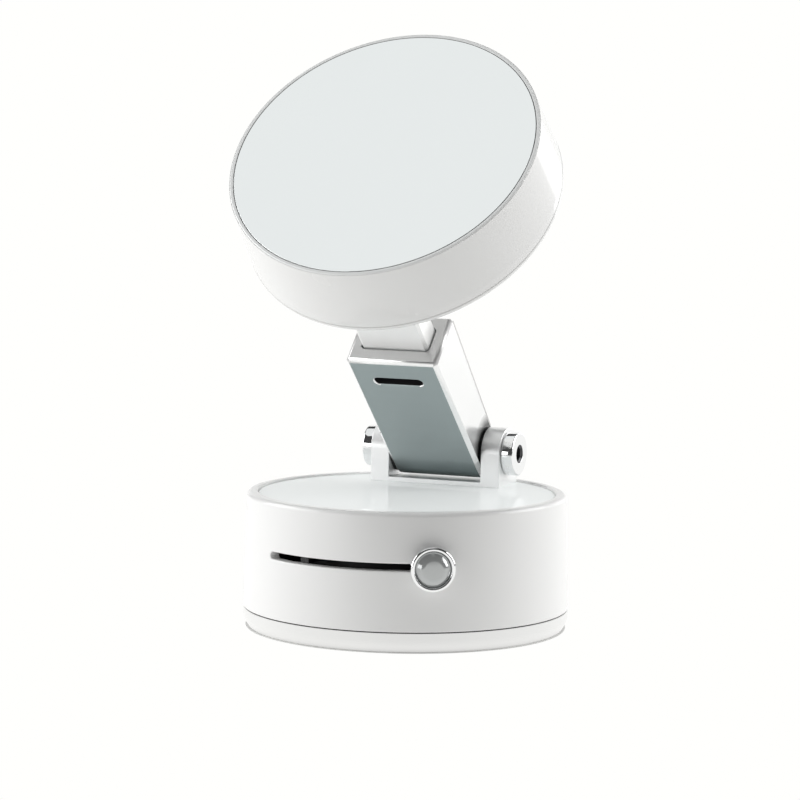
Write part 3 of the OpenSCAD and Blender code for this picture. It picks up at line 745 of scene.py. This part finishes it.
def sleeve():
    """The tapered sleeve: round knuckle, bright-cut chamfers brightened as a painted highlight, lit and shaded
    copies of the aluminium on sides and end (painted light and shade), a hollow for the bar, a cross window with
    painted shade on its floor, and a thin line inlaid near the back edge of each side as a painted shade line."""
    knuckle, end = KNUCKLE_T / 2, SLEEVE_T / 2
    arch = circle(knuckle, 48, start=math.pi, span=math.pi, closed=False)
    mesh = extruded(arch + [(end, SLEEVE_LEN), (-end, SLEEVE_LEN)], SLEEVE_W / 2)
    for mat in (SILVER, BRIGHT_CUT_HIGHLIGHT, SLEEVE_SIDE_LIT, BRUSHED_END_SHADED, DARK):
        mesh.materials.append(mat)
    # chamfers take the bright-cut painted highlight; faces sorted by direction: the sides a lit copy, the end a
    # shaded copy (painted light and shade)
    mesh = bevelled(mesh, CUT, 1, angle=60, material=1)
    for poly in mesh.polygons:
        if abs(poly.normal.x) > 0.99:
            poly.material_index = 2
        elif poly.normal.z > 0.99 or (poly.normal.z > 0.5 and abs(poly.normal.x) > 0.5):
            poly.material_index = 3
    hollow = bevelled(cuboid((-HOLLOW_W / 2, -HOLLOW_T / 2, HOLLOW_FROM), (HOLLOW_W / 2, HOLLOW_T / 2, 50)), 0.6, 1)
    mesh = combine(mesh, [hollow, rod(BUSH_HOLE_R, -FAR, FAR)], "DIFFERENCE")
    mesh = combine(mesh, [window_tool()], "DIFFERENCE")
    mesh = bevelled(mesh, 0.1, 2, angle=38)
    piece("sleeve_body", mesh, ARM, "arm", "satin_aluminium", ("arm_sleeve",))
    # painted shade: a thin grey strip near the back edge of each side, standing for the shaded back chamfer
    for side in (-1, 1):
        outer, inner = 0.5, 0.95
        line = extruded([(end - inner, SLEEVE_LEN - 0.9), (end - outer, SLEEVE_LEN - 0.9), (knuckle - outer, 3),
                         (knuckle - inner, 3)], 0.1)
        name = "edge_painted_shade_" + ("right" if side > 0 else "left")
        piece(name, moved(line, x=side * (SLEEVE_W / 2 - 0.09)), ARM, "arm", "grey_plastic")
    # painted shade: a dark insert behind the window darkens its floor
    shade_insert = extruded(stadium(WINDOW_W / 2 - 0.02, WINDOW_H / 2 - 0.02), 0.2, "Z")
    shade_insert.transform(Matrix.Rotation(math.pi / 2, 4, "X"))
    shade_insert = moved(bevelled(shade_insert, 0.05, 2), y=-3.36, z=WINDOW_S)
    piece("window_painted_shade", shade_insert, ARM, "arm", "dark_plastic")


def stadium(half_length, radius, steps=16):
    """An outline with straight long sides and round ends."""
    straight = half_length - radius
    right = [(straight + x, y) for x, y in circle(radius, steps, -math.pi / 2, math.pi, closed=False)]
    return right + [(-x, -y) for x, y in right]


def window_tool():
    """The window through the front wall, with a narrow bevelled mouth, painted glints at the mouth's ends and
    painted shade on its deep walls.
    """
    front = -SLEEVE_T / 2 - 0.2
    face = -SLEEVE_T / 2 + 0.15
    hole = stadium(WINDOW_W / 2, WINDOW_H / 2)
    mouth = stadium(WINDOW_W / 2 + 0.3, WINDOW_H / 2 + 0.3)
    bm = bmesh.new()
    rings = [[bm.verts.new((x, y, WINDOW_S + z)) for x, z in outline]
             for y, outline in ((front, mouth), (face, mouth), (face + 0.3, hole), (-1, hole))]
    for ring, following in zip(rings, rings[1:]):
        bridge(bm, ring, following)
    bm.faces.new(rings[0])
    bm.faces.new(rings[-1])
    mesh = done(bm, "window")
    for poly in mesh.polygons:
        # painted glints: the mouth's faces near both ends take the bright-cut; painted shade: the deep walls take
        # the dark plastic
        lip = 1 if abs(poly.center.x) > WINDOW_W / 2 - 0.9 else 0
        poly.material_index = lip if poly.center.y < face + 0.4 else 4
    return mesh


def bar():
    """The sliding bar, its top end forked round the head's lug."""
    bar_from = 11.5
    half = BAR_T / 2
    arch = [(x, PIN_S + z) for x, z in circle(half, 32, span=math.pi, closed=False)]
    mesh = extruded(arch + [(-half, bar_from), (half, bar_from)], BAR_W / 2)
    gap = cuboid((-3.2, -6, PIN_S - 2.85), (3.2, 6, PIN_S + 9))
    ends = [cuboid((s * 6.25 - 1, -6, bar_from + 1.5), (s * 6.25 + 1, 6, bar_from + 6.5)) for s in (-1, 1)]
    mesh = combine(mesh, [gap] + ends, "DIFFERENCE")
    mesh = bevelled(mesh, 0.55, 1, angle=50)
    mesh = combine(mesh, [moved(rod(PIN_HOLE_R, -FAR, FAR), z=PIN_S)], "DIFFERENCE")
    mesh = bevelled(mesh, 0.07, 2, angle=38)
    piece("bar_body", mesh, ARM, "bar", "bar_metal", ("inner_bar",))


# ---- knob ----

def knob():
    """A turned chrome ring with a rolled lip, and a domed lens in it."""
    back = BASE_R
    front = back + 2.5
    turned("knob_rim", [(2.45, back, 0.05), (KNOB_R - 0.35, back, 0.15), (KNOB_R, back + 0.45, 0.5),
                        (KNOB_R, front, 0.62), (3.62, front, 0.3), (3.5, back + 1.8, 0.05),
                        (2.45, back + 1.8, 0.05)], KNOB, "cam", "chrome", ("knob_ring",), steps=144)
    turned("knob_lens", [(0, back + 1.82), (3.46, back + 1.82, 0.05), (3.46, front - 0.5, 0.25),
                         (2.2, front + 0.44, 1.4), (0, front + 0.48)],
           KNOB, "cam", "knob_lens", ("knob_cap",), steps=144)


# ---- head ----

def head_shells():
    """Casing, a fine grey ring near its back edge as a painted shade line, bezel, mirror and a dark ring round it
    as painted shade in the gap, all turned about the head's axis.
    """
    back = -HEAD_T
    shade_line_low, shade_line_high = back + 1.25, back + 1.5
    floor = back + 2.2
    gap_in, gap_out = MIRROR_R + 0.01, MIRROR_R + 0.15
    shell = turned("casing_body",
           [(COVER_R + 0.05, back, 0.3), (HEAD_R, back, 1.15), (HEAD_R - 0.05, back + 3.0, 8),
            (BEZEL_R + 0.1, -0.19, 0.1), (BEZEL_R + 0.03, -0.19, 0.03), (BEZEL_R + 0.03, -2.1, 0),
            (BEZEL_R - 0.6, -2.1, 0), (BEZEL_R - 0.6, floor, 0.2), (29.0, floor, 0.1), (29.0, back + 2.02, 0),
            (COVER_R + 0.05, back + 2.02, 0)], HEAD, "head", "white_gloss", ("head_casing",), steps=256)
    # the casing takes the darker copy of the white gloss, painted shade on the head's wall
    shell.data.materials[0] = CASING_SHADED
    # painted shade: a fine grey ring near the casing's back edge
    turned("casing_painted_shade_line", [(HEAD_R - 0.5, shade_line_low), (HEAD_R + 0.004, shade_line_low), (HEAD_R + 0.004, shade_line_high),
                           (HEAD_R - 0.5, shade_line_high)], HEAD, "head", "grey_plastic", default=0.02, steps=256)
    # painted shade: a dark ring filling the gap round the mirror
    turned("mirror_gap_painted_shade", [(gap_in, -1.7), (gap_out, -1.7), (gap_out, -0.1), (gap_in, -0.1)],
           HEAD, "head", "dark_plastic", default=0.02, steps=256)
    turned("bezel_body", [(MIRROR_R + 0.16, -2.04, 0), (BEZEL_R, -2.04, 0), (BEZEL_R, 0, 0.3),
                          (MIRROR_R + 0.16, 0, 0.06)], HEAD, "head", "bezel_metal", ("bezel_ring",), steps=256)
    turned("mirror_disc", [(0, -1.79), (MIRROR_R, -1.79, 0.1), (MIRROR_R, -0.03, 0.05), (0, -0.03)],
           HEAD, "head", "mirror", ("mirror_glass",), steps=256)


def back_cover():
    """The back cover, with a pocket for the lug's plate and four countersunk holes."""
    back = -HEAD_T
    section = rounded([(0, back), (COVER_R, back, 0.35), (COVER_R, back + 2, 0.1), (0, back + 2)])
    disc = lathe_mesh("disc", section, 256)
    block = cuboid((-12, -HEAD_OFF - 6, back + 1), (12, -HEAD_OFF + 6, back + 3.2))
    disc = combine(disc, [block], "UNION")
    half_w, half_h = LUG_PLATE_W / 2 + 0.05, LUG_PLATE_H / 2 + 0.05
    pocket = cuboid((-half_w, -HEAD_OFF - half_h, back - 1), (half_w, -HEAD_OFF + half_h, back + 1.95))
    cuts = [bevelled(pocket, 0.8, 4)]
    for quarter in range(4):
        angle = math.pi / 4 + quarter * math.pi / 2
        x, y = COVER_SCREW_AT * math.sin(angle), -COVER_SCREW_AT * math.cos(angle)
        cuts.append(moved(rod(SCREW_HEAD_R, back - 1, back + 0.9, "Z"), x, y))
        cuts.append(moved(rod(SCREW_HOLE_R, back - 1, back + 5, "Z"), x, y))
    for side in (-6, 6):
        cuts.append(moved(rod(SCREW_HOLE_R, back - 1, back + 6, "Z"), side, -HEAD_OFF))
    mesh = bevelled(combine(disc, cuts, "DIFFERENCE"), 0.12, 3, angle=50)
    piece("cover_body", mesh, HEAD, "head", "white_gloss", ("back_cover",))


def lug():
    """The head's hinge lug on its plate, one softened casting."""
    back = -HEAD_T
    pin = back - STANDOFF
    arch = [(y, pin + z) for y, z in circle(LUG_R, 32, start=math.pi, span=math.pi, closed=False)]
    tongue = extruded(arch + [(LUG_R, back + 0.5), (-LUG_R, back + 0.5)], LUG_HALF)
    plate = cuboid((-LUG_PLATE_W / 2, -LUG_PLATE_H / 2, back), (LUG_PLATE_W / 2, LUG_PLATE_H / 2, back + 1.9))
    mesh = combine(plate, [tongue], "UNION")
    mesh = bevelled(mesh, 0.35, 4, angle=50)
    mesh = combine(mesh, [moved(rod(1.3, -10, 10), z=pin)], "DIFFERENCE")
    mesh = moved(mesh, y=-HEAD_OFF)
    piece("lug_casting", mesh, HEAD, "head", "bar_metal", ("hinge_lug",))


base_pad()
base_shell()
top_plate()
return_spring()
yoke()
pivot()
sleeve()
bar()
knob()
head_shells()
back_cover()
lug()


# ---- studio ----

FLOOR_GLOW = 1.0
FRONT_GLOW = 0.26
FADE_FROM, FADE_TO = 0.19, 0.34
CAMERA_TURN = math.radians(22.463)
CAMERA_RISE = math.radians(5.986)
CAMERA_ROLL = math.radians(0.764)
CAMERA_AWAY = 0.6514
AIM_ACROSS, AIM_UP = -0.00167, 0.04598


def stage_sheet(name, corners):
    """A flat sheet of floor or backdrop, evenly lit from behind like a light table."""
    mesh = bpy.data.meshes.new(name)
    mesh.from_pydata([Vector(c) for c in corners], [], [(0, 1, 2, 3)])
    mat = bpy.data.materials.new(name)
    mat.use_nodes = True
    shader = mat.node_tree.nodes["Principled BSDF"]
    shader.inputs["Base Color"].default_value = colour((0, 0, 0))
    shader.inputs["Roughness"].default_value = 1.0
    shader.inputs["Specular IOR Level"].default_value = 0.0
    shader.inputs["Emission Color"].default_value = colour(WARM_WHITE)
    shader.inputs["Emission Strength"].default_value = FLOOR_GLOW
    mesh.materials.append(mat)
    sheet = bpy.data.objects.new(name, mesh)
    bpy.context.scene.collection.objects.link(sheet)
    return mat.node_tree


def fade_floor(tree):
    """Lets the floor's glow fade in front of the object, so that fronts are shaded as in a light tent."""
    where = tree.nodes.new("ShaderNodeTexCoord")
    ahead = tree.nodes.new("ShaderNodeVectorMath")
    ahead.operation = "DOT_PRODUCT"
    ahead.inputs[1].default_value = around(0, 1, 0)
    fade = tree.nodes.new("ShaderNodeMapRange")
    fade.inputs["From Min"].default_value = FADE_FROM
    fade.inputs["From Max"].default_value = FADE_TO
    fade.inputs["To Min"].default_value = FLOOR_GLOW
    fade.inputs["To Max"].default_value = FRONT_GLOW
    tree.links.new(where.outputs["Object"], ahead.inputs[0])
    tree.links.new(ahead.outputs["Value"], fade.inputs["Value"])
    tree.links.new(fade.outputs["Result"], tree.nodes["Principled BSDF"].inputs["Emission Strength"])


def softbox(name, at, size, glow, aim=(0, 0, 0.06), tint=(1, 1, 1)):
    """An area light of this radiance."""
    light = bpy.data.lights.new(name, "AREA")
    light.shape = "RECTANGLE"
    light.size, light.size_y = size
    light.energy = glow * math.pi * size[0] * size[1]
    light.color = tint
    lamp = bpy.data.objects.new(name, light)
    lamp.location = at
    lamp.rotation_euler = (Vector(aim) - Vector(at)).to_track_quat("-Z", "Y").to_euler()
    bpy.context.scene.collection.objects.link(lamp)


def around(azimuth, away, height):
    """A place round the object: the azimuth is counted from the camera's side, towards its right."""
    turn = math.radians(azimuth) + CAMERA_TURN
    return (away * math.sin(turn), -away * math.cos(turn), height)


def studio():
    """A glowing floor and backdrop, five soft boxes and a dim world."""
    far = 3.0
    fade_floor(stage_sheet("floor", [(-far, -far, 0), (far, -far, 0), (far, far, 0), (-far, far, 0)]))
    stage_sheet("backdrop", [(-far, far, 0), (far, far, 0), (far, far, far), (-far, far, far)])
    softbox("top_box", (-0.1, -0.02, 0.75), (0.7, 0.7), 0.81, aim=(0, 0, 0), tint=(0.98, 1, 0.995))
    softbox("left_box", around(-98, 0.75, 0.34), (0.7, 0.55), 3.9)
    softbox("right_box", around(97, 0.75, 0.34), (0.6, 0.55), 4.2)
    softbox("rim_box", around(142, 0.9, 0.12), (0.35, 0.5), 0.8)
    softbox("front_box", around(-58, 0.95, 0.12), (0.6, 0.3), 2.6)
    world = bpy.data.worlds.new("studio")
    world.use_nodes = True
    world.node_tree.nodes["Background"].inputs["Color"].default_value = colour((1, 1, 1))
    world.node_tree.nodes["Background"].inputs["Strength"].default_value = 0.06
    bpy.context.scene.world = world
    bpy.context.scene.view_settings.view_transform = "Standard"


def camera():
    """A long lens to the object's right, a little above the base."""
    turn = Matrix.Rotation(CAMERA_TURN, 4, "Z")
    aim = turn @ Vector((AIM_ACROSS, 0, AIM_UP))
    at = turn @ Vector((AIM_ACROSS, -CAMERA_AWAY * math.cos(CAMERA_RISE),
                        AIM_UP + CAMERA_AWAY * math.sin(CAMERA_RISE)))
    lens = bpy.data.cameras.new("camera")
    lens.sensor_width = 36
    lens.lens = 145.1
    lens.clip_start = 0.01
    cam = bpy.data.objects.new("camera", lens)
    look = (aim - at).to_track_quat("-Z", "Y").to_matrix().to_4x4()
    cam.matrix_world = Matrix.Translation(at) @ look @ Matrix.Rotation(CAMERA_ROLL, 4, "Z")
    bpy.context.scene.collection.objects.link(cam)
    bpy.context.scene.camera = cam


studio()
camera()
